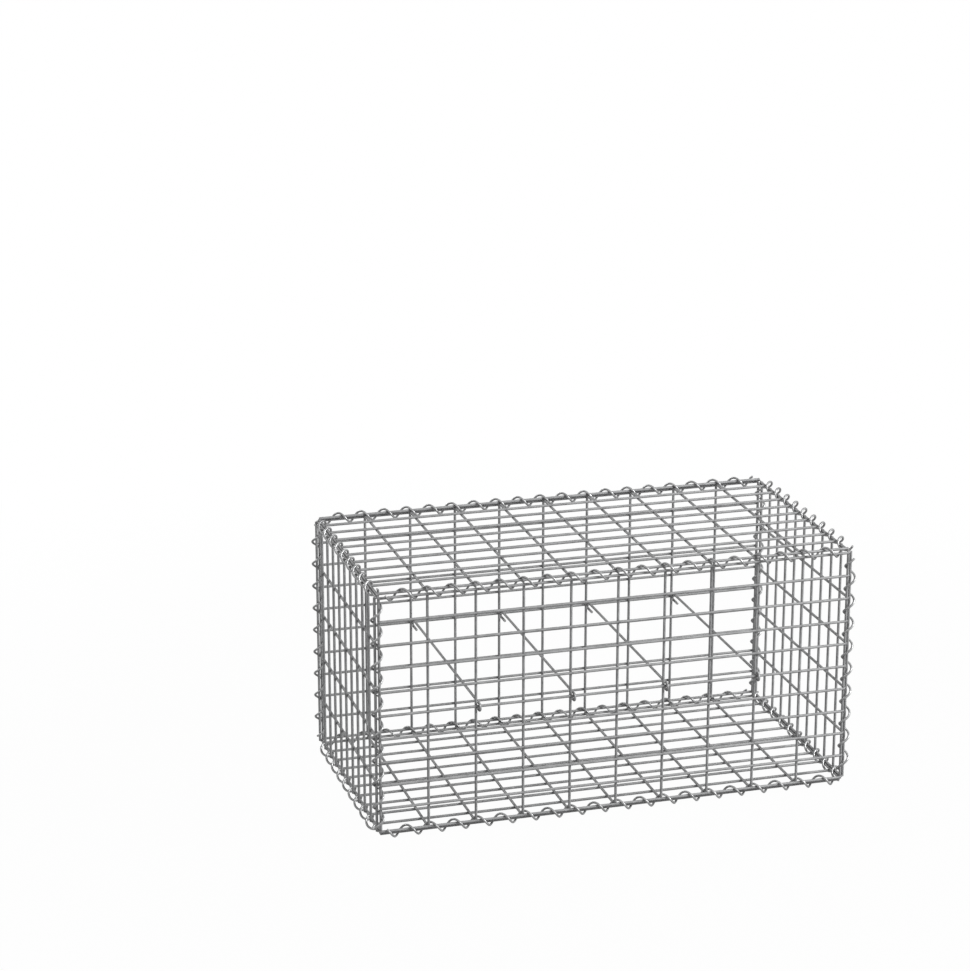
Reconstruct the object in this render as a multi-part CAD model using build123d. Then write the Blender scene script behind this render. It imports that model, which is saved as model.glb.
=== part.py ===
from build123d import *
import math
import os

# Empty welded wire basket, sizes in millimetres, +X along its length, +Z up.
# The origin is under the middle of the basket, at the lowest point of its spirals.

# Welded mesh panels
panel_wire = 5.0
outer_spacing = 50.0
inner_spacing = 100.0
along_cell_count = 10
deep_cell_count = 10
high_cell_count = 10
end_wire_step_count = 2
wire_overhang = 1.0
weld_depth = 1.2
corner_clearance = 0.3
bar_side_count = 8

# Spirals that lace the panels together along the edges
spiral_wire = 4.2
spiral_clearance = 0.3
spiral_end_clearance = 0.3
long_spiral_turn_count = 2

# Where the strand first passes its marked side, as a share of a turn from the first mesh wire
front_base_share = 0.125
front_lid_share = 0.02
back_base_share = 0.875
back_lid_share = 0.88
left_base_share = 0.4
left_lid_share = 0.125
right_base_share = 0.73
right_lid_share = 0.01
front_left_share = 0.375
front_right_share = 0.71
back_left_share = 0.375
back_right_share = 0.74

# Tie wires that hold the front and back panels together inside
tie_wire = 5.0
tie_clearance = 0.3
tie_side_gap = 1.0
tie_bend_radius = 7.25
tie_tail = 28.0
tie_step_count = 2

# Sizes that follow from the values above
round_share = math.sqrt(2 * math.pi / (bar_side_count * math.sin(2 * math.pi / bar_side_count)))
bar_radius = round_share * panel_wire / 2
bar_flat = bar_radius * math.cos(math.pi / bar_side_count)
layer_offset = bar_flat - weld_depth / 2
edge_gap = max(bar_flat + wire_overhang, bar_flat * math.sqrt(2)) + corner_clearance
edge_inset = layer_offset + edge_gap
mesh_length = along_cell_count * inner_spacing
mesh_depth = deep_cell_count * outer_spacing
mesh_height = high_cell_count * outer_spacing
half_length = mesh_length / 2 + edge_inset
half_depth = mesh_depth / 2 + edge_inset
bundle_radius = math.hypot(edge_inset + layer_offset, edge_inset + layer_offset) / 2 + bar_radius
spiral_radius = bundle_radius + spiral_clearance + spiral_wire / 2
seat_radius = bundle_radius - bar_radius


def spiral_axis(first_layer, second_layer):
    """Place of a spiral's axis, inward of the two panels' middle planes.

    Each layer is +1 where that panel's edge wire is an inner one and -1 where it is an outer one.
    The axis lies as far out as the two edge wires let the spiral go.
    """
    first = Vector(edge_inset, first_layer * layer_offset)
    second = Vector(second_layer * layer_offset, edge_inset)
    apart = second - first
    slack = math.sqrt(max(seat_radius ** 2 - (apart.length / 2) ** 2, 0))
    outward = Vector(-apart.Y, apart.X).normalized()
    return first + apart / 2 + outward * slack


long_axis = spiral_axis(-1, -1)
deep_axis = spiral_axis(1, 1)
upright_axis = spiral_axis(1, -1)
spiral_reach = spiral_radius + spiral_wire / 2
corner_reach = spiral_reach + max(long_axis.X, deep_axis.X, upright_axis.X, upright_axis.Y)
spiral_start = corner_reach + spiral_end_clearance + spiral_wire / 2 - edge_inset
base_level = spiral_reach - min(long_axis.Y, deep_axis.Y)
lid_level = base_level + mesh_height + 2 * edge_inset
middle_level = (base_level + lid_level) / 2
long_pitch = inner_spacing / long_spiral_turn_count
short_pitch = outer_spacing


def mesh_bar(length):
    """A straight bar along local Z, with two of its flats square to the panel's normal."""
    section = RegularPolygon(bar_radius, bar_side_count, rotation=180 / bar_side_count)
    return extrude(section, length / 2, both=True)


def even_places(span, cells):
    """Places of the wires that divide a span into equal cells, about its middle."""
    return [span * (number / cells) - span / 2 for number in range(cells + 1)]


def mesh_panel(outer_span, outer_cells, inner_span, inner_cells):
    """Welded mesh with its outer face towards local +Z: outer wires run along local X."""
    outer_bar = Rotation(0, 90, 0) * mesh_bar(outer_span + 2 * wire_overhang)
    inner_bar = Rotation(90, 0, 0) * mesh_bar(inner_span + 2 * wire_overhang)
    bars = [Pos(0, place, layer_offset) * outer_bar for place in even_places(inner_span, outer_cells)]
    bars += [Pos(place, 0, -layer_offset) * inner_bar for place in even_places(outer_span, inner_cells)]
    return Part() + bars


def spiral(start_corner, axis, marked_side, mesh_span, pitch, pass_share):
    """Right-hand spiral along an edge, from its first mesh wire to its last one."""
    turned = 2 * math.pi * (spiral_start / pitch - pass_share)
    side = marked_side * math.cos(turned) + axis.cross(marked_side) * math.sin(turned)
    path = Helix(pitch, mesh_span - 2 * spiral_start, spiral_radius)
    section = Plane(origin=path @ 0, z_dir=path % 0) * Circle(spiral_wire / 2)
    strand = sweep(section, path=path, is_frenet=True)
    return Plane(origin=start_corner + axis * spiral_start, x_dir=side, z_dir=axis) * strand


def tie(place):
    """Straight wire over a front and a back mesh wire, hooked round each with a tail inside."""
    wire_level = middle_level + bar_radius + tie_clearance + tie_wire / 2
    tail_level = wire_level - 2 * tie_bend_radius
    bend = half_depth + layer_offset
    tip = bend - tie_tail
    front_end = Vector(place, -bend, wire_level)
    back_end = Vector(place, bend, wire_level)
    front_low = Vector(place, -bend, tail_level)
    back_low = Vector(place, bend, tail_level)
    front_out = Vector(place, -bend - tie_bend_radius, wire_level - tie_bend_radius)
    back_out = Vector(place, bend + tie_bend_radius, wire_level - tie_bend_radius)
    path = Wire([
        Edge.make_line(Vector(place, -tip, tail_level), front_low),
        Edge.make_three_point_arc(front_low, front_out, front_end),
        Edge.make_line(front_end, back_end),
        Edge.make_three_point_arc(back_end, back_out, back_low),
        Edge.make_line(back_low, Vector(place, tip, tail_level)),
    ])
    section = Plane(origin=path @ 0, z_dir=path % 0) * Circle(tie_wire / 2)
    return sweep(section, path=path)


nodes = {}

# The six mesh panels, each with its closely spaced wires outside
side_mesh = mesh_panel(mesh_length, high_cell_count, mesh_height, along_cell_count)
flat_mesh = mesh_panel(mesh_length, deep_cell_count, mesh_depth, along_cell_count)
end_mesh = mesh_panel(mesh_height, deep_cell_count, mesh_depth, high_cell_count // end_wire_step_count)
right = Vector(1, 0, 0)
back = Vector(0, 1, 0)
up = Vector(0, 0, 1)
nodes["front_panel"] = Plane(origin=(0, -half_depth, middle_level), x_dir=right, z_dir=-back) * side_mesh
nodes["back_panel"] = Plane(origin=(0, half_depth, middle_level), x_dir=-right, z_dir=back) * side_mesh
nodes["base_panel"] = Plane(origin=(0, 0, base_level), x_dir=right, z_dir=-up) * flat_mesh
nodes["lid_panel"] = Plane(origin=(0, 0, lid_level), x_dir=right, z_dir=up) * flat_mesh
nodes["left_end_panel"] = Plane(origin=(-half_length, 0, middle_level), x_dir=up, z_dir=-right) * end_mesh
nodes["right_end_panel"] = Plane(origin=(half_length, 0, middle_level), x_dir=up, z_dir=right) * end_mesh

# Four spirals along the length, marked where the strand is on top
low = base_level + long_axis.Y
high = lid_level - long_axis.Y
for name, side, level, share in (
    ("front_base_spiral", -1, low, front_base_share),
    ("front_lid_spiral", -1, high, front_lid_share),
    ("back_base_spiral", 1, low, back_base_share),
    ("back_lid_spiral", 1, high, back_lid_share),
):
    corner = Vector(-mesh_length / 2, side * (half_depth - long_axis.X), level)
    nodes[name] = spiral(corner, right, up, mesh_length, long_pitch, share)

# Four spirals along the depth, marked where the strand is on top
low = base_level + deep_axis.Y
high = lid_level - deep_axis.Y
for name, side, level, share in (
    ("left_base_spiral", -1, low, left_base_share),
    ("left_lid_spiral", -1, high, left_lid_share),
    ("right_base_spiral", 1, low, right_base_share),
    ("right_lid_spiral", 1, high, right_lid_share),
):
    corner = Vector(side * (half_length - deep_axis.X), -mesh_depth / 2, level)
    nodes[name] = spiral(corner, back, up, mesh_depth, short_pitch, share)

# Four upright spirals, marked where the strand is towards the front
for name, side, face, share in (
    ("front_left_spiral", -1, -1, front_left_share),
    ("front_right_spiral", 1, -1, front_right_share),
    ("back_left_spiral", -1, 1, back_left_share),
    ("back_right_spiral", 1, 1, back_right_share),
):
    across = side * (half_length - upright_axis.X)
    deep = face * (half_depth - upright_axis.Y)
    corner = Vector(across, deep, base_level + edge_inset)
    nodes[name] = spiral(corner, up, -back, mesh_height, short_pitch, share)

# Tie wires beside every second upright wire of the front panel
tie_offset = bar_radius + tie_side_gap + tie_wire / 2
tie_count = (along_cell_count - 1) // tie_step_count
for number in range(1, tie_count + 1):
    upright = number * tie_step_count * inner_spacing - mesh_length / 2
    nodes[f"tie_wire_{number}"] = tie(upright + tie_offset)

os.makedirs("parts", exist_ok=True)
for name, solid in nodes.items():
    solid.label = name
    export_step(solid, f"parts/{name}.step")
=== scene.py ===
"""Galvanised welded mesh basket, laced along its edges with wire spirals."""

import math

import bpy
from bpy.props import FloatProperty, FloatVectorProperty, IntProperty, PointerProperty
from bpy.types import Operator, Panel, PropertyGroup
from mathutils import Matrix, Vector


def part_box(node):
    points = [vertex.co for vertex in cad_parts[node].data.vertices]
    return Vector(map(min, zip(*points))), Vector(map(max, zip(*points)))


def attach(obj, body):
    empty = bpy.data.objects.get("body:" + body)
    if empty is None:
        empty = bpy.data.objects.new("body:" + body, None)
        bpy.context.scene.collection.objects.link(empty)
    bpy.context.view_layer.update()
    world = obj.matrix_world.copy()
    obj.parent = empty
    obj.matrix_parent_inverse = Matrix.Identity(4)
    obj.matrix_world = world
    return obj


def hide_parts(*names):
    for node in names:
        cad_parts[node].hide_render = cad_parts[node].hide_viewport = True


bl_info = {
    "name": "Welded Mesh Basket",
    "version": (1, 0, 0),
    "blender": (4, 5, 0),
    "location": "View3D > Sidebar > Basket",
    "description": "Builds a galvanised wire basket of mesh panels, edge spirals and tie wires",
    "category": "Add Mesh",
}

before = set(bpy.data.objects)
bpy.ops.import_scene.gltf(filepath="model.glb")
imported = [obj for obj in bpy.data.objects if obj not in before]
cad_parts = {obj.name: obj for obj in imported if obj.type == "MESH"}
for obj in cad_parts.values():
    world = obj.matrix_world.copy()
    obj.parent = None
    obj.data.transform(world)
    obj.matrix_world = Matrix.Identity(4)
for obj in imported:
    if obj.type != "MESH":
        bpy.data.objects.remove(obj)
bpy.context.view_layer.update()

RIGHT = Vector((1, 0, 0))
BACK = Vector((0, 1, 0))
UP = Vector((0, 0, 1))

# Where each spiral's strand first passes its marked side, as a share of a turn from the first
# mesh wire. The marked side is the top of a level spiral and the front of an upright one.
PASS_SHARES = {
    "front_base_spiral": 0.125,
    "front_lid_spiral": 0.02,
    "back_base_spiral": 0.875,
    "back_lid_spiral": 0.88,
    "left_base_spiral": 0.4,
    "left_lid_spiral": 0.125,
    "right_base_spiral": 0.73,
    "right_lid_spiral": 0.01,
    "front_left_spiral": 0.375,
    "front_right_spiral": 0.71,
    "back_left_spiral": 0.375,
    "back_right_spiral": 0.74,
}

# Order of the materials on a panel, and on a spiral or a tie
OUTER_WIRE, INNER_WIRE, PANEL_CUT, WELD = range(4)
WIRE, CUT = range(2)

# Rounding of a sheared end, as a share of the wire's radius
CHAMFER_SHARE = 0.18

# Rings of a weld bead, as shares of the way over its curve, and its blunt tip
BEAD_LEVELS = (0.0, 0.22, 0.42, 0.58, 0.78, 1.0)
BEAD_SIDES = 10
BEAD_TIP_SHARE = 0.02

# Places of the rings along a straight mesh wire, as shares of its half length
MESH_RINGS = (-1, -0.5, 0, 0.5, 1)

# Edges sharper than this stay crisp
SHARP_ANGLE = math.radians(38)

# How far a piece's box may differ from its solid's box, in metres
SEAT_TOLERANCE = 0.001

# Noise textures, their scales in features a metre
PATCHES = {"scale": 42.0, "detail": 4.0, "roughness": 0.55}
LINES = {"scale": 1.0, "detail": 2.0, "roughness": 0.6}
GRAINS = {"scale": 1900.0, "detail": 2.0, "roughness": 0.6}
BURNS = {"scale": 260.0, "detail": 3.0, "roughness": 0.6}
SPATTER = {"scale": 1500.0, "detail": 3.0, "roughness": 0.6}
PATCH_RANGE = (0.3, 0.7)
BURN_RANGE = (0.3, 0.62)
FLAKE_SCALE = 330.0

# Stretch of the lines: along a straight wire, across it, on a spiral and on a sheared end
LINE_ALONG = 60.0
LINE_ACROSS = 1500.0
SPIRAL_LINES = (420.0, 420.0, 420.0)
SHEAR_LINES = (2600.0, 2600.0, 700.0)

# How much each texture lightens the zinc, raises it and roughens it
PATCH_TONE, FLAKE_TONE, LINE_TONE = 0.55, 0.25, 0.3
LINE_RELIEF, GRAIN_RELIEF, FLAKE_RELIEF, MARK_RELIEF = 0.5, 0.25, 0.2, 0.8
ZINC_ROUGH, DULL_ROUGH, GRAIN_ROUGH, MARK_ROUGH = 0.3, 0.16, 0.08, 0.16
CUT_ROUGH, WELD_ROUGH, BARE_ROUGH = 0.38, 0.42, 0.25

# Strength and depth in metres of the relief on zinc, sheared ends and weld beads
ZINC_BUMP = (0.35, 0.00012)
CUT_BUMP = (0.5, 0.00015)
WELD_BUMP = (0.6, 0.0002)

# Share of metal in the finish of mesh and ties, spirals, sheared ends and weld beads
ZINC_METAL, SPIRAL_METAL, CUT_METAL, WELD_METAL = 0.2, 0.4, 0.6, 0.4

# The spirals' newer zinc is smoother by this much
SPIRAL_SHINE = 0.08

# Coat on the zinc and its grey tint, which darkens the wire and deepens towards the edges of a
# wire as painted shade
SHADE_COAT = {
    "Specular IOR Level": 0.2,
    "Specular Tint": (0.4, 0.4, 0.4, 1.0),
    "Coat Weight": 1.0,
    "Coat Roughness": 0.35,
    "Coat IOR": 1.12,
}
ZINC_EDGE_SHADE, SPIRAL_EDGE_SHADE = 0.66, 0.6

# Weld marks: full within the first distance of a crossing, gone beyond the second, in metres
MARK_REACH = (0.0018, 0.0062)
MARK_STRENGTH = 0.6

# Floor: half its side in metres and its roughness
FLOOR_HALF = 40.0
FLOOR_ROUGH = 0.9

# White share of the floor near the basket. It grows to 1 between these distances in metres.
NEAR_WHITE = 0.98
NEAR_REACH = (0.9, 2.4)

# Camera sensor in millimetres, and how far the camera sees
SENSOR_WIDTH = 36.0
CLIP_END = 200.0


class MeshSizes(PropertyGroup):
    """Sizes of the welded mesh panels."""

    wire: FloatProperty(
        name="Wire",
        description="Diameter of the round wire that a solid's bar stands for",
        default=0.005,
        unit="LENGTH",
    )
    drawn: FloatProperty(
        name="Drawn wire",
        description="Diameter of a mesh wire as drawn, a little over its solid's bar",
        default=0.0056,
        unit="LENGTH",
    )
    bar_sides: IntProperty(
        name="Bar sides", description="Sides of a solid's bar", default=8, min=3
    )
    close_spacing: FloatProperty(
        name="Close spacing",
        description="Spacing of the outer wires",
        default=0.05,
        unit="LENGTH",
    )
    wide_spacing: FloatProperty(
        name="Wide spacing",
        description="Spacing of the inner wires",
        default=0.1,
        unit="LENGTH",
    )
    cells_along: IntProperty(
        name="Cells along", description="Wide cells along the length", default=10, min=1
    )
    cells_deep: IntProperty(
        name="Cells deep", description="Close cells from front to back", default=10, min=1
    )
    cells_high: IntProperty(
        name="Cells high", description="Close cells from base to lid", default=10, min=1
    )
    overhang: FloatProperty(
        name="Overhang",
        description="Wire beyond the last crossing",
        default=0.001,
        unit="LENGTH",
    )
    weld_depth: FloatProperty(
        name="Weld depth",
        description="How far crossing bars sink together",
        default=0.0012,
        unit="LENGTH",
    )
    corner_gap: FloatProperty(
        name="Corner gap",
        description="Gap between panels at an edge",
        default=0.0003,
        unit="LENGTH",
    )
    bead_width: FloatProperty(
        name="Bead width",
        description="Half width of a weld bead",
        default=0.0034,
        unit="LENGTH",
    )
    bead_height: FloatProperty(
        name="Bead height",
        description="Half height of a weld bead",
        default=0.0015,
        unit="LENGTH",
    )
    sides: IntProperty(name="Sides", description="Facets around a wire", default=20, min=8)


class SpiralSizes(PropertyGroup):
    """Sizes of the edge spirals."""

    wire: FloatProperty(
        name="Wire", description="Diameter of the solid's wire", default=0.0042, unit="LENGTH"
    )
    drawn: FloatProperty(
        name="Drawn wire",
        description="Diameter of the wire as drawn, a little over its solid",
        default=0.0046,
        unit="LENGTH",
    )
    gap: FloatProperty(
        name="Gap",
        description="Gap between a spiral and its edge wires",
        default=0.0003,
        unit="LENGTH",
    )
    end_gap: FloatProperty(
        name="End gap",
        description="Gap between spirals at a corner",
        default=0.0003,
        unit="LENGTH",
    )
    long_turns: IntProperty(
        name="Long turns",
        description="Turns in one wide cell, for a spiral along the length",
        default=2,
        min=1,
    )
    steps: IntProperty(name="Steps", description="Segments in one turn", default=40, min=16)
    sides: IntProperty(name="Sides", description="Facets around the wire", default=14, min=8)


class TieSizes(PropertyGroup):
    """Sizes of the tie wires."""

    wire: FloatProperty(
        name="Wire", description="Diameter of the solid's wire", default=0.005, unit="LENGTH"
    )
    drawn: FloatProperty(
        name="Drawn wire",
        description="Diameter of the wire as drawn, a little over its solid",
        default=0.0054,
        unit="LENGTH",
    )
    gap: FloatProperty(
        name="Gap",
        description="Gap between a tie and the wire it hangs on",
        default=0.0003,
        unit="LENGTH",
    )
    side_gap: FloatProperty(
        name="Side gap",
        description="Gap between a tie and the upright beside it",
        default=0.001,
        unit="LENGTH",
    )
    bend_radius: FloatProperty(
        name="Bend radius",
        description="Radius of the hook at mid wire",
        default=0.00725,
        unit="LENGTH",
    )
    tail: FloatProperty(
        name="Tail", description="Length of the hook's tail", default=0.028, unit="LENGTH"
    )
    spread: IntProperty(
        name="Spread", description="Wide cells from one tie to the next", default=2, min=1
    )
    steps: IntProperty(name="Steps", description="Segments in a hook", default=24, min=8)


class ZincFinish(PropertyGroup):
    """Colours of the galvanised wire."""

    bright: FloatVectorProperty(
        name="Bright zinc",
        description="Colour of clean zinc",
        subtype="COLOR",
        size=3,
        default=(0.66, 0.665, 0.67),
    )
    dull: FloatVectorProperty(
        name="Dull zinc",
        description="Colour of weathered zinc",
        subtype="COLOR",
        size=3,
        default=(0.39, 0.393, 0.398),
    )
    spiral: FloatVectorProperty(
        name="Spiral zinc",
        description="Colour of the spirals' newer zinc",
        subtype="COLOR",
        size=3,
        default=(0.82, 0.825, 0.83),
    )
    weld: FloatVectorProperty(
        name="Weld mark",
        description="Colour of zinc burnt by a weld",
        subtype="COLOR",
        size=3,
        default=(0.3, 0.3, 0.305),
    )
    cut: FloatVectorProperty(
        name="Cut steel",
        description="Colour of a sheared wire end",
        subtype="COLOR",
        size=3,
        default=(0.34, 0.335, 0.33),
    )


class StudioSet(PropertyGroup):
    """Floor, light and camera."""

    floor: FloatVectorProperty(
        name="Floor",
        description="Colour of the floor",
        subtype="COLOR",
        size=3,
        default=(0.35, 0.35, 0.35),
    )
    camera_place: FloatVectorProperty(
        name="Camera place",
        description="Where the camera stands",
        subtype="TRANSLATION",
        size=3,
        default=(-1.834578, -5.559252, 2.464597),
    )
    heading: FloatProperty(
        name="Heading",
        description="Turn of the camera to the right",
        subtype="ANGLE",
        default=math.radians(16.3222),
    )
    tilt: FloatProperty(
        name="Tilt",
        description="Tilt of the camera downwards",
        subtype="ANGLE",
        default=math.radians(17.4137),
    )
    lens: FloatProperty(
        name="Lens", description="Focal length in millimetres", default=109.073, unit="CAMERA"
    )
    key_place: FloatVectorProperty(
        name="Key place",
        description="Where the main lamp stands",
        subtype="TRANSLATION",
        size=3,
        default=(4.4, -2.4, 3.2),
    )
    key_power: FloatProperty(
        name="Key power",
        description="Power of the main lamp in watts",
        default=450.0,
        unit="POWER",
    )
    fill_place: FloatVectorProperty(
        name="Fill place",
        description="Where the fill lamp stands",
        subtype="TRANSLATION",
        size=3,
        default=(-3.2, -1.6, 2.2),
    )
    fill_power: FloatProperty(
        name="Fill power",
        description="Power of the fill lamp in watts",
        default=20.0,
        unit="POWER",
    )
    back_place: FloatVectorProperty(
        name="Back place",
        description="Where the lamp behind stands",
        subtype="TRANSLATION",
        size=3,
        default=(-3.0, 4.2, 3.4),
    )
    back_power: FloatProperty(
        name="Back power",
        description="Power of the lamp behind in watts",
        default=150.0,
        unit="POWER",
    )
    lamp_side: FloatProperty(
        name="Lamp side", description="Side of a square lamp", default=2.0, unit="LENGTH"
    )
    lamp_aim: FloatVectorProperty(
        name="Lamp aim",
        description="Spot that the lamps point at",
        subtype="TRANSLATION",
        size=3,
        default=(0.0, 0.0, 0.25),
    )
    sky: FloatProperty(
        name="Sky",
        description="Strength of the room's even light",
        default=0.12,
        min=0.0,
        max=1.0,
        subtype="FACTOR",
    )


def settings(name):
    """One of the scene's property groups."""
    return getattr(bpy.context.scene, name)


class Layout:
    """Places of the panels and spirals, worked out from the wire sizes."""

    def __init__(self):
        mesh = settings("basket_mesh")
        coil = settings("basket_spirals")
        # A bar has the same section area as the round wire
        corner_turn = math.tau / mesh.bar_sides
        self.bar_radius = mesh.wire / 2 * math.sqrt(corner_turn / math.sin(corner_turn))
        bar_flat = self.bar_radius * math.cos(corner_turn / 2)
        self.layer = bar_flat - mesh.weld_depth / 2
        edge_gap = max(bar_flat + mesh.overhang, bar_flat * math.sqrt(2)) + mesh.corner_gap
        self.inset = self.layer + edge_gap
        self.length = mesh.cells_along * mesh.wide_spacing
        self.depth = mesh.cells_deep * mesh.close_spacing
        self.height = mesh.cells_high * mesh.close_spacing
        self.half_length = self.length / 2 + self.inset
        self.half_depth = self.depth / 2 + self.inset
        self.seat = math.sqrt(0.5) * (self.inset + self.layer)
        self.radius = self.seat + self.bar_radius + coil.gap + coil.wire / 2
        self.long_axis = self.spiral_axis(-1, -1)
        self.deep_axis = self.spiral_axis(1, 1)
        self.upright_axis = self.spiral_axis(1, -1)
        reach = self.radius + coil.wire / 2
        widest = max(
            self.long_axis.x, self.deep_axis.x, self.upright_axis.x, self.upright_axis.y
        )
        self.start = reach + widest + coil.end_gap + coil.wire / 2 - self.inset
        self.base = reach - min(self.long_axis.y, self.deep_axis.y)
        self.lid = self.base + self.height + 2 * self.inset
        self.middle = (self.base + self.lid) / 2

    def spiral_axis(self, first_layer, second_layer):
        """Place of a spiral's axis, inward of the middle planes of the two panels it binds.

        Each layer is 1 where that panel's edge wire is an inner one and -1 where it is an outer
        one. The axis lies as far out as the two edge wires let the spiral go.
        """
        first = Vector((self.inset, first_layer * self.layer))
        second = Vector((second_layer * self.layer, self.inset))
        apart = second - first
        slack = math.sqrt(max(self.seat ** 2 - (apart.length / 2) ** 2, 0))
        outward = Vector((-apart.y, apart.x)).normalized()
        return first + apart / 2 + outward * slack


class WireShape:
    """Collects the rings of round wires and turns them into one mesh."""

    def __init__(self):
        self.points = []
        self.faces = []
        self.slots = []

    def ring(self, centre, across, beside, radius, sides):
        """Add a ring of points and give the number of its first one."""
        first = len(self.points)
        for number in range(sides):
            turn = math.tau * number / sides
            spoke = across * math.cos(turn) + beside * math.sin(turn)
            self.points.append(centre + spoke * radius)
        return first

    def tube(self, rings, sides, slot, end_slot):
        """Skin a row of rings and close its two ends."""
        for first, second in zip(rings, rings[1:]):
            for number in range(sides):
                after = (number + 1) % sides
                self.faces.append((first + number, first + after, second + after, second + number))
                self.slots.append(slot)
        self.faces.append(tuple(rings[0] + number for number in reversed(range(sides))))
        self.faces.append(tuple(rings[-1] + number for number in range(sides)))
        self.slots += [end_slot, end_slot]

    def wire(self, stations, radius, sides, slot, cut_slot):
        """A round wire through (centre, across, beside) stations, its sheared ends rounded."""
        chamfer = CHAMFER_SHARE * radius
        rings = []
        last = len(stations) - 1
        for number, (centre, across, beside) in enumerate(stations):
            along = across.cross(beside)
            if number == 0:
                rings.append(self.ring(centre, across, beside, radius - chamfer, sides))
                rings.append(self.ring(centre + along * chamfer, across, beside, radius, sides))
            elif number == last:
                rings.append(self.ring(centre - along * chamfer, across, beside, radius, sides))
                rings.append(self.ring(centre, across, beside, radius - chamfer, sides))
            else:
                rings.append(self.ring(centre, across, beside, radius, sides))
        self.tube(rings, sides, slot, cut_slot)

    def bead(self, centre, across, beside, width, height, slot):
        """A flat drop of weld metal between two crossing wires."""
        normal = across.cross(beside)
        rings = []
        for share in BEAD_LEVELS:
            level = math.pi * share - math.pi / 2
            middle = centre + normal * height * math.sin(level)
            radius = max(width * math.cos(level), width * BEAD_TIP_SHARE)
            rings.append(self.ring(middle, across, beside, radius, BEAD_SIDES))
        self.tube(rings, BEAD_SIDES, slot, slot)

    def finish(self, name, materials, node, record_slot):
        """Make the object, seat it on the frame and let it stand for its solid."""
        mesh = bpy.data.meshes.new(name)
        mesh.from_pydata([tuple(point) for point in self.points], [], self.faces)
        mesh.update()
        for material in materials:
            mesh.materials.append(material)
        for polygon, slot in zip(mesh.polygons, self.slots):
            polygon.material_index = slot
            polygon.use_smooth = True
        mesh.set_sharp_from_angle(angle=SHARP_ANGLE)
        piece = bpy.data.objects.new(name, mesh)
        bpy.context.scene.collection.objects.link(piece)
        low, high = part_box(node)
        for axis in range(3):
            values = [point[axis] for point in self.points]
            miss = max(abs(min(values) - low[axis]), abs(max(values) - high[axis]))
            if miss > SEAT_TOLERANCE:
                raise RuntimeError(f"{name} does not lie where its solid is")
        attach(piece, "root")
        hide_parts(node)


class Shade:
    """A shader socket that takes part in Python expressions."""

    def __init__(self, tree, socket):
        self.tree = tree
        self.socket = socket

    @classmethod
    def node(cls, tree, kind, options=None, sockets=None, output=0):
        """Add a node: its options are set first, then the values or links of its sockets."""
        made = tree.nodes.new(kind)
        for key, value in (options or {}).items():
            setattr(made, key, value)
        for key, value in (sockets or {}).items():
            if isinstance(value, Shade):
                value.feed(made.inputs[key])
            else:
                made.inputs[key].default_value = value
        return cls(tree, made.outputs[output])

    def feed(self, target):
        """Link this socket to an input of another node."""
        self.tree.links.new(self.socket, target)

    def output(self, name):
        """Another output of the same node."""
        return Shade(self.tree, self.socket.node.outputs[name])

    def math(self, operation, first, second):
        """A Math node on two values."""
        options = {"operation": operation}
        return self.node(self.tree, "ShaderNodeMath", options, {0: first, 1: second})

    def __add__(self, other):
        return self.math("ADD", self, other)

    def __mul__(self, other):
        return self.math("MULTIPLY", self, other)

    def __sub__(self, other):
        return self.math("SUBTRACT", self, other)

    def __rsub__(self, other):
        return self.math("SUBTRACT", other, self)

    __radd__ = __add__
    __rmul__ = __mul__

    def larger(self, other):
        """The larger of two values."""
        return self.math("MAXIMUM", self, other)

    def fold(self, width):
        """Distance to the nearest whole multiple of twice the width."""
        return self.math("PINGPONG", self, width)

    def clamp(self):
        """The value held between 0 and 1."""
        return self.node(self.tree, "ShaderNodeClamp", sockets={"Value": self})

    def steps(self, low, high):
        """0 below low, 1 above high, smooth between."""
        options = {"interpolation_type": "SMOOTHSTEP"}
        return self.node(self.tree, "ShaderNodeMapRange", options, {0: self, 1: low, 2: high})

    def stretch(self, amounts):
        """A vector with each part multiplied by its own amount."""
        options = {"operation": "MULTIPLY"}
        return self.node(self.tree, "ShaderNodeVectorMath", options, {0: self, 1: amounts})

    def length(self):
        """Length of a vector."""
        options = {"operation": "LENGTH"}
        return self.node(self.tree, "ShaderNodeVectorMath", options, {0: self}, output="Value")

    def part(self, axis):
        """One part of a vector."""
        return self.node(self.tree, "ShaderNodeSeparateXYZ", sockets={"Vector": self}, output=axis)

    def noise(self, scale, detail, roughness):
        """Cloudy noise at this place."""
        sockets = {"Vector": self, "Scale": scale, "Detail": detail, "Roughness": roughness}
        return self.node(self.tree, "ShaderNodeTexNoise", sockets=sockets)

    def flakes(self, scale):
        """Flat crystals at this place, each with a value of its own."""
        sockets = {"Vector": self, "Scale": scale}
        options = {"feature": "F1"}
        cells = self.node(self.tree, "ShaderNodeTexVoronoi", options, sockets, output="Color")
        return self.node(self.tree, "ShaderNodeSeparateColor", sockets={"Color": cells})

    def blend(self, low, high):
        """A colour between two others, with this value as the share of the second."""
        options = {"data_type": "RGBA"}
        return self.node(self.tree, "ShaderNodeMix", options, {0: self, 6: low, 7: high}, output=2)

    def bump(self, strength, distance):
        """Relief whose height is this value."""
        sockets = {"Strength": strength, "Distance": distance, "Height": self}
        return self.node(self.tree, "ShaderNodeBump", sockets=sockets)


def colour(group_value):
    """A property's colour with full opacity."""
    return (*group_value, 1.0)


def new_material(name):
    """A node material, its shader and the place on the object."""
    material = bpy.data.materials.new(name)
    material.use_nodes = True
    tree = material.node_tree
    place = Shade.node(tree, "ShaderNodeTexCoord", output="Object")
    return material, tree.nodes["Principled BSDF"], place


def dress(shader, tint, rough, relief, metal):
    """Link a colour, a roughness and a relief to a shader and set its share of metal."""
    shader.inputs["Metallic"].default_value = metal
    tint.feed(shader.inputs["Base Color"])
    rough.feed(shader.inputs["Roughness"])
    relief.feed(shader.inputs["Normal"])


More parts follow.
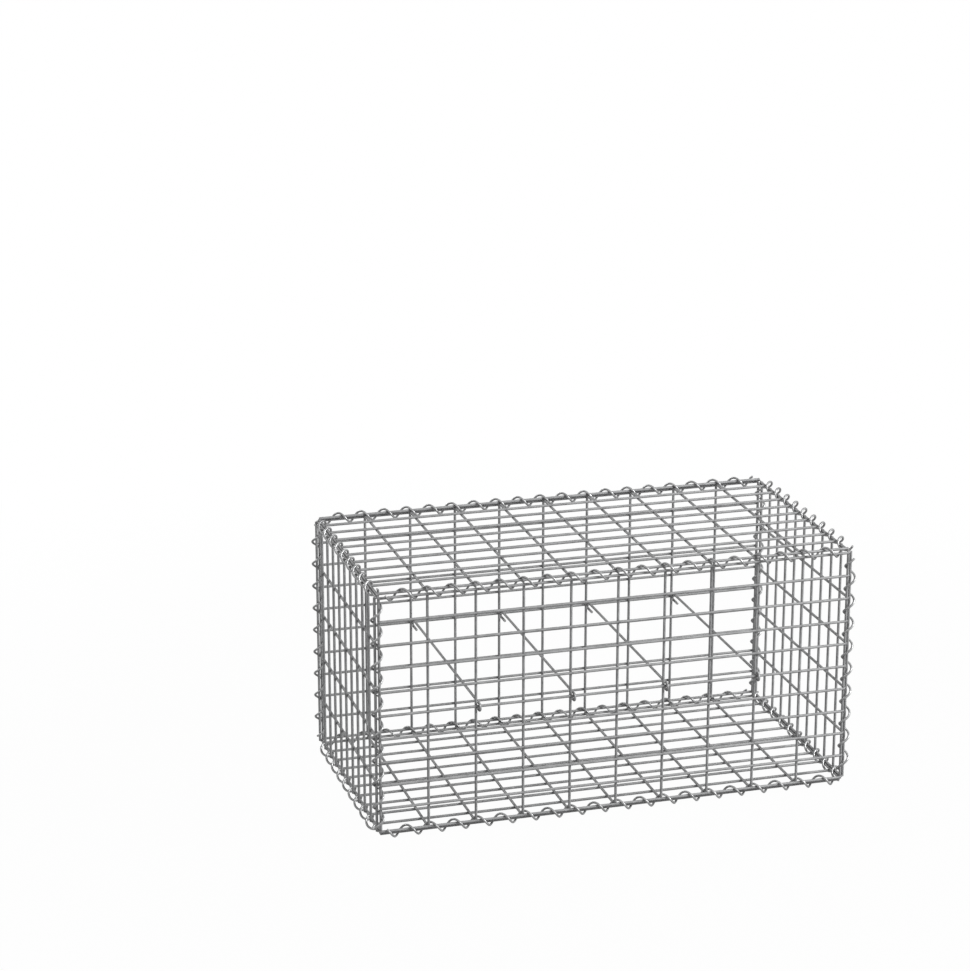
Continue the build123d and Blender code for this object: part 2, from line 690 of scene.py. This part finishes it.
def zinc(name, line_stretch, bright, grid=(), metal=ZINC_METAL, shine=0.0, edge_shade=ZINC_EDGE_SHADE):
    """Galvanised wire: mottled zinc with lines along the wire and dull weld marks on a grid.

    The grid has an axis, a spacing and a first place for each of its two families of wires.
    """
    finish = settings("basket_finish")
    material, shader, place = new_material(name)
    patches = place.noise(**PATCHES).steps(*PATCH_RANGE)
    flakes = place.flakes(FLAKE_SCALE)
    lines = place.stretch(line_stretch).noise(**LINES)
    grains = place.noise(**GRAINS)
    tone = (patches * PATCH_TONE + flakes * FLAKE_TONE + lines * LINE_TONE).clamp()
    tint = tone.blend(colour(finish.dull), colour(bright))
    rough = ZINC_ROUGH + (1 - tone) * DULL_ROUGH + grains * GRAIN_ROUGH - shine
    height = lines * LINE_RELIEF + grains * GRAIN_RELIEF + flakes * FLAKE_RELIEF
    if grid:
        marks = place.noise(**BURNS).steps(*BURN_RANGE)
        for axis, spacing, first in grid:
            away = (place.part(axis) - first).fold(spacing / 2)
            marks = marks * (1 - away.steps(*MARK_REACH))
        tint = (marks * MARK_STRENGTH).blend(tint, colour(finish.weld))
        rough = rough + marks * MARK_ROUGH
        height = height + marks * grains * MARK_RELIEF
    dress(shader, tint, rough.clamp(), height.bump(*ZINC_BUMP), metal)
    # Grey coat tint: painted shade that darkens the wire, most towards its edges
    for key, value in SHADE_COAT.items():
        shader.inputs[key].default_value = value
    shader.inputs["Coat Tint"].default_value = (edge_shade, edge_shade, edge_shade, 1.0)
    return material


def cut_steel():
    """Sheared end of a wire: bare darker steel with shear lines."""
    finish = settings("basket_finish")
    material, shader, place = new_material("cut_steel")
    lines = place.stretch(SHEAR_LINES).noise(**LINES)
    tint = lines.blend(colour(finish.cut), colour(finish.dull))
    dress(shader, tint, CUT_ROUGH + lines * BARE_ROUGH, lines.bump(*CUT_BUMP), CUT_METAL)
    return material


def weld_metal():
    """Weld bead: burnt, rough zinc and steel."""
    finish = settings("basket_finish")
    material, shader, place = new_material("weld_metal")
    grains = place.noise(**SPATTER)
    tint = grains.steps(*PATCH_RANGE).blend(colour(finish.weld), colour(finish.dull))
    dress(shader, tint, WELD_ROUGH + grains * BARE_ROUGH, grains.bump(*WELD_BUMP), WELD_METAL)
    return material


def shared_material(name, make):
    """A material that several pieces share, made the first time it is asked for."""
    return bpy.data.materials.get(name) or make()


def lines_along(axis):
    """Stretch that draws fine lines along one axis."""
    return tuple(LINE_ALONG if number == axis else LINE_ACROSS for number in range(3))


def seen_directly(tree):
    """1 for the camera and for what shows in metal or through glass, 0 for other light."""
    camera = Shade.node(tree, "ShaderNodeLightPath", output="Is Camera Ray")
    mirrored = camera.output("Is Glossy Ray")
    return camera.larger(mirrored).larger(camera.output("Is Transmission Ray"))


class BASKET_OT_panels(Operator):
    """Add the six welded mesh panels"""

    bl_idname = "basket.panels"
    bl_label = "Mesh panels"

    def panel(self, layout, node, centre, outer_way, inner_way, materials):
        """One flat mesh: close outer wires along outer_way, wide inner ones along inner_way."""
        mesh = settings("basket_mesh")
        spans = Vector((layout.length, layout.depth, layout.height))
        outer_span = abs(spans.dot(outer_way))
        inner_span = abs(spans.dot(inner_way))
        outer_cells = round(inner_span / mesh.close_spacing)
        inner_cells = round(outer_span / mesh.wide_spacing)
        normal = outer_way.cross(inner_way)
        shape = WireShape()
        for along, apart, span, spread, cells, layer, slot in (
            (outer_way, inner_way, outer_span, inner_span, outer_cells, layout.layer, OUTER_WIRE),
            (inner_way, outer_way, inner_span, outer_span, inner_cells, -layout.layer, INNER_WIRE),
        ):
            half = along * (span / 2 + mesh.overhang)
            beside = along.cross(normal)
            for number in range(cells + 1):
                middle = centre + apart * (spread * number / cells - spread / 2) + normal * layer
                stations = [(middle + half * share, normal, beside) for share in MESH_RINGS]
                shape.wire(stations, mesh.drawn / 2, mesh.sides, slot, PANEL_CUT)
        for row in range(outer_cells + 1):
            for column in range(inner_cells + 1):
                spot = centre + inner_way * (inner_span * (row / outer_cells - 0.5))
                spot = spot + outer_way * (outer_span * (column / inner_cells - 0.5))
                shape.bead(spot, outer_way, inner_way, mesh.bead_width, mesh.bead_height, WELD)
        shape.finish(node.replace("_panel", "_mesh"), materials, node, "panel_zinc")

    def execute(self, context):
        mesh = settings("basket_mesh")
        layout = Layout()
        first_level = layout.base + layout.inset
        along = (0, mesh.wide_spacing, -layout.length / 2)
        deep = (1, mesh.close_spacing, -layout.depth / 2)
        high = (2, mesh.close_spacing, first_level)
        high_wide = (2, mesh.wide_spacing, first_level)
        bright = settings("basket_finish").bright
        bare = [
            shared_material("cut_steel", cut_steel),
            shared_material("weld_metal", weld_metal),
        ]
        side = [
            zinc("side_long_wire", lines_along(0), bright, (along, high)),
            zinc("side_upright_wire", lines_along(2), bright, (along, high)),
        ] + bare
        flat = [
            zinc("flat_long_wire", lines_along(0), bright, (along, deep)),
            zinc("flat_cross_wire", lines_along(1), bright, (along, deep)),
        ] + bare
        end = [
            zinc("end_upright_wire", lines_along(2), bright, (deep, high_wide)),
            zinc("end_cross_wire", lines_along(1), bright, (deep, high_wide)),
        ] + bare
        for node, centre, outer_way, inner_way, materials in (
            ("front_panel", (0, -layout.half_depth, layout.middle), RIGHT, UP, side),
            ("back_panel", (0, layout.half_depth, layout.middle), -RIGHT, UP, side),
            ("base_panel", (0, 0, layout.base), RIGHT, -BACK, flat),
            ("lid_panel", (0, 0, layout.lid), RIGHT, BACK, flat),
            ("left_end_panel", (-layout.half_length, 0, layout.middle), UP, BACK, end),
            ("right_end_panel", (layout.half_length, 0, layout.middle), UP, -BACK, end),
        ):
            self.panel(layout, node, Vector(centre), outer_way, inner_way, materials)
        return {"FINISHED"}


class BASKET_OT_spirals(Operator):
    """Add the twelve spirals that lace the edges"""

    bl_idname = "basket.spirals"
    bl_label = "Edge spirals"

    def spiral(self, layout, node, corner, axis, marked, span, pitch, materials):
        """Right-hand spiral along an edge, from its first mesh wire to its last one."""
        coil = settings("basket_spirals")
        beside_mark = axis.cross(marked)
        length = span - 2 * layout.start
        count = round(length / pitch * coil.steps)
        rise = pitch / math.tau
        slope = math.hypot(rise, layout.radius)
        stations = []
        for number in range(count + 1):
            along = layout.start + length * number / count
            turn = math.tau * (along / pitch - PASS_SHARES[node])
            outward = marked * math.cos(turn) + beside_mark * math.sin(turn)
            ahead = (axis.cross(outward) * layout.radius + axis * rise) / slope
            centre = corner + axis * along + outward * layout.radius
            stations.append((centre, outward, ahead.cross(outward)))
        shape = WireShape()
        shape.wire(stations, coil.drawn / 2, coil.sides, WIRE, CUT)
        shape.finish(node.replace("_spiral", "_coil"), materials, node, "spiral_zinc")

    def execute(self, context):
        mesh = settings("basket_mesh")
        layout = Layout()
        newer = settings("basket_finish").spiral
        wire = zinc(
            "coil_wire",
            SPIRAL_LINES,
            newer,
            metal=SPIRAL_METAL,
            shine=SPIRAL_SHINE,
            edge_shade=SPIRAL_EDGE_SHADE,
        )
        materials = [wire, shared_material("cut_steel", cut_steel)]
        long_pitch = mesh.wide_spacing / settings("basket_spirals").long_turns
        short_pitch = mesh.close_spacing
        # Along the length
        axis = layout.long_axis
        for node, side, level in (
            ("front_base_spiral", -1, layout.base + axis.y),
            ("front_lid_spiral", -1, layout.lid - axis.y),
            ("back_base_spiral", 1, layout.base + axis.y),
            ("back_lid_spiral", 1, layout.lid - axis.y),
        ):
            corner = Vector((-layout.length / 2, side * (layout.half_depth - axis.x), level))
            self.spiral(layout, node, corner, RIGHT, UP, layout.length, long_pitch, materials)
        # Along the depth
        axis = layout.deep_axis
        for node, side, level in (
            ("left_base_spiral", -1, layout.base + axis.y),
            ("left_lid_spiral", -1, layout.lid - axis.y),
            ("right_base_spiral", 1, layout.base + axis.y),
            ("right_lid_spiral", 1, layout.lid - axis.y),
        ):
            corner = Vector((side * (layout.half_length - axis.x), -layout.depth / 2, level))
            self.spiral(layout, node, corner, BACK, UP, layout.depth, short_pitch, materials)
        # Upright
        axis = layout.upright_axis
        for node, side, face in (
            ("front_left_spiral", -1, -1),
            ("front_right_spiral", 1, -1),
            ("back_left_spiral", -1, 1),
            ("back_right_spiral", 1, 1),
        ):
            across = side * (layout.half_length - axis.x)
            deep = face * (layout.half_depth - axis.y)
            corner = Vector((across, deep, layout.base + layout.inset))
            self.spiral(layout, node, corner, UP, -BACK, layout.height, short_pitch, materials)
        return {"FINISHED"}


class BASKET_OT_ties(Operator):
    """Add the four tie wires inside the basket"""

    bl_idname = "basket.ties"
    bl_label = "Tie wires"

    def execute(self, context):
        mesh = settings("basket_mesh")
        tie = settings("basket_ties")
        layout = Layout()
        bright = settings("basket_finish").bright
        wire = zinc("tie_wire", lines_along(1), bright)
        materials = [wire, shared_material("cut_steel", cut_steel)]
        level = layout.middle + layout.bar_radius + tie.gap + tie.wire / 2
        tail_level = level - 2 * tie.bend_radius
        bend = layout.half_depth + layout.layer
        tie_count = (mesh.cells_along - 1) // tie.spread
        for number in range(1, tie_count + 1):
            upright = number * tie.spread * mesh.wide_spacing - layout.length / 2
            place = upright + layout.bar_radius + tie.side_gap + tie.wire / 2
            # Front tail, the two hooks with the straight wire between them, back tail
            stations = [(Vector((place, tie.tail - bend, tail_level)), -UP, RIGHT)]
            for face in (-1, 1):
                hub = Vector((place, face * bend, level - tie.bend_radius))
                for step in range(tie.steps + 1):
                    turn = math.pi * (step / tie.steps - 0.5) * -face
                    outward = UP * math.sin(turn) + BACK * face * math.cos(turn)
                    stations.append((hub + outward * tie.bend_radius, outward, RIGHT))
            stations.append((Vector((place, bend - tie.tail, tail_level)), -UP, RIGHT))
            shape = WireShape()
            shape.wire(stations, tie.drawn / 2, mesh.sides, WIRE, CUT)
            shape.finish(f"tie_{number}", materials, f"tie_wire_{number}", "tie_zinc")
        return {"FINISHED"}


class BASKET_OT_stage(Operator):
    """Add the floor, the lamps, the room light and the camera"""

    bl_idname = "basket.stage"
    bl_label = "Studio"

    def floor(self, studio):
        """Pale floor, white to the camera and to reflections, that still takes a soft shadow."""
        half = FLOOR_HALF
        corners = [(-half, -half, 0), (half, -half, 0), (half, half, 0), (-half, half, 0)]
        mesh = bpy.data.meshes.new("floor")
        mesh.from_pydata(corners, [], [(0, 1, 2, 3)])
        mesh.update()
        floor = bpy.data.objects.new("floor", mesh)
        bpy.context.scene.collection.objects.link(floor)
        material, shader, place = new_material("floor_paint")
        shader.inputs["Base Color"].default_value = colour(studio.floor)
        shader.inputs["Roughness"].default_value = FLOOR_ROUGH
        shader.inputs["Specular IOR Level"].default_value = 0.0
        tree = place.tree
        away = place.stretch((1.0, 1.0, 0.0)).length().steps(*NEAR_REACH)
        white = seen_directly(tree) * (away * (1 - NEAR_WHITE) + NEAR_WHITE)
        paint = Shade(tree, shader.outputs["BSDF"])
        glow = Shade.node(tree, "ShaderNodeEmission")
        mixed = Shade.node(tree, "ShaderNodeMixShader", sockets={0: white, 1: paint, 2: glow})
        mixed.feed(tree.nodes["Material Output"].inputs["Surface"])
        mesh.materials.append(material)

    def lamp(self, name, place, power, studio):
        """A soft square lamp that points at the basket."""
        data = bpy.data.lights.new(name, "AREA")
        data.shape = "SQUARE"
        data.size = studio.lamp_side
        data.energy = power
        lamp = bpy.data.objects.new(name, data)
        lamp.location = place
        view = Vector(studio.lamp_aim) - Vector(place)
        lamp.rotation_euler = view.to_track_quat("-Z", "Y").to_euler()
        bpy.context.scene.collection.objects.link(lamp)

    def room(self, studio):
        """Even room light, white where the camera or a reflection sees it."""
        world = bpy.data.worlds.new("room")
        world.use_nodes = True
        bpy.context.scene.world = world
        background = world.node_tree.nodes["Background"]
        background.inputs["Color"].default_value = (1.0, 1.0, 1.0, 1.0)
        strength = seen_directly(world.node_tree) * (1 - studio.sky) + studio.sky
        strength.feed(background.inputs["Strength"])

    def camera(self, studio):
        """Camera at the viewing angle of the picture."""
        data = bpy.data.cameras.new("camera")
        data.sensor_width = SENSOR_WIDTH
        data.lens = studio.lens
        data.clip_end = CLIP_END
        camera = bpy.data.objects.new("camera", data)
        camera.location = studio.camera_place
        camera.rotation_euler = (math.pi / 2 - studio.tilt, 0.0, -studio.heading)
        bpy.context.scene.collection.objects.link(camera)
        bpy.context.scene.camera = camera

    def execute(self, context):
        studio = settings("basket_studio")
        self.floor(studio)
        self.lamp("key_lamp", studio.key_place, studio.key_power, studio)
        self.lamp("fill_lamp", studio.fill_place, studio.fill_power, studio)
        self.lamp("back_lamp", studio.back_place, studio.back_power, studio)
        self.room(studio)
        self.camera(studio)
        context.scene.view_settings.view_transform = "Standard"
        return {"FINISHED"}


class BASKET_PT_sidebar(Panel):
    """Sidebar panel with the steps, sizes and finishes"""

    bl_idname = "BASKET_PT_sidebar"
    bl_label = "Welded mesh basket"
    bl_space_type = "VIEW_3D"
    bl_region_type = "UI"
    bl_category = "Basket"

    def draw(self, context):
        for operator in OPERATORS:
            self.layout.operator(operator.bl_idname)
        for name in GROUPS:
            group = settings(name)
            box = self.layout.box()
            for key in group.__annotations__:
                box.prop(group, key)


GROUPS = {
    "basket_mesh": MeshSizes,
    "basket_spirals": SpiralSizes,
    "basket_ties": TieSizes,
    "basket_finish": ZincFinish,
    "basket_studio": StudioSet,
}
OPERATORS = (BASKET_OT_panels, BASKET_OT_spirals, BASKET_OT_ties, BASKET_OT_stage)


def register():
    for name, group in GROUPS.items():
        bpy.utils.register_class(group)
        setattr(bpy.types.Scene, name, PointerProperty(type=group))
    for operator in OPERATORS:
        bpy.utils.register_class(operator)
    bpy.utils.register_class(BASKET_PT_sidebar)


def unregister():
    bpy.utils.unregister_class(BASKET_PT_sidebar)
    for operator in reversed(OPERATORS):
        bpy.utils.unregister_class(operator)
    for name, group in reversed(list(GROUPS.items())):
        delattr(bpy.types.Scene, name)
        bpy.utils.unregister_class(group)


def main():
    register()
    bpy.ops.basket.panels()
    bpy.ops.basket.spirals()
    bpy.ops.basket.ties()
    bpy.ops.basket.stage()


if __name__ == "__main__":
    main()
